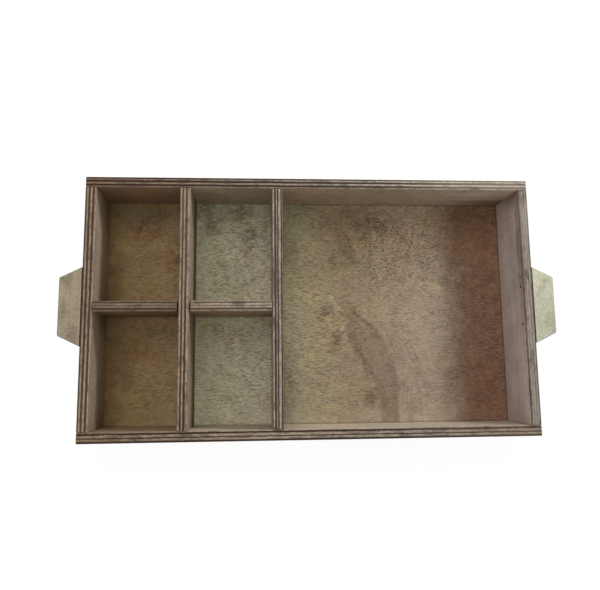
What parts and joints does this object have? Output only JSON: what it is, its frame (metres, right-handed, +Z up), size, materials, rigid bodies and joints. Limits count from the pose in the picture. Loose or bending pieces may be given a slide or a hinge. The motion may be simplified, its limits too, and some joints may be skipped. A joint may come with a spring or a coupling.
{
  "type": "divided serving tray",
  "caption": "Rectangular plywood serving tray with small bays at one end, a large bay at the other and a flat handle lug on each end wall.",
  "frame": {"origin": "centre of the underside, on the surface that the tray stands on", "axes": "+X along the tray towards the large bay, +Y towards the back wall, +Z up"},
  "size_m": [0.4276, 0.2256, 0.054],
  "materials": {
    "wall_plywood": "stained, open edge plies",
    "divider_plywood": "stained, open edge plies",
    "base_plywood": "stained veneer",
    "handle_plywood": "lightly stained veneer",
    "pin_steel": "dull steel wire"
  },
  "bodies": {
    "root": {"base_panel": "base_plywood", "front_wall": "wall_plywood", "back_wall": "wall_plywood", "left_end_wall": "wall_plywood", "right_end_wall": "wall_plywood", "lapped_divider": "divider_plywood", "main_divider": "divider_plywood", "cross_divider": "divider_plywood", "left_handle": "handle_plywood", "right_handle": "handle_plywood", "corner_pin_left_front_low": "pin_steel", "corner_pin_left_front_high": "pin_steel", "corner_pin_right_front_low": "pin_steel", "corner_pin_right_front_high": "pin_steel", "divider_pin_lapped_front_low": "pin_steel", "divider_pin_lapped_front_high": "pin_steel", "divider_pin_main_front_low": "pin_steel", "divider_pin_main_front_high": "pin_steel", "corner_pin_left_back_low": "pin_steel", "corner_pin_left_back_high": "pin_steel", "corner_pin_right_back_low": "pin_steel", "corner_pin_right_back_high": "pin_steel", "divider_pin_lapped_back_low": "pin_steel", "divider_pin_lapped_back_high": "pin_steel", "divider_pin_main_back_low": "pin_steel", "divider_pin_main_back_high": "pin_steel", "cross_pin_left_low": "pin_steel", "cross_pin_left_high": "pin_steel", "cross_pin_right_low": "pin_steel", "cross_pin_right_high": "pin_steel", "handle_pin_left_front": "pin_steel", "handle_pin_left_back": "pin_steel", "handle_pin_right_front": "pin_steel", "handle_pin_right_back": "pin_steel", "base_pin_front_1": "pin_steel", "base_pin_front_2": "pin_steel", "base_pin_front_3": "pin_steel", "base_pin_front_4": "pin_steel", "base_pin_back_1": "pin_steel", "base_pin_back_2": "pin_steel", "base_pin_back_3": "pin_steel", "base_pin_back_4": "pin_steel", "base_pin_left_1": "pin_steel", "base_pin_left_2": "pin_steel", "base_pin_right_1": "pin_steel", "base_pin_right_2": "pin_steel"}
  },
  "joints": []
}
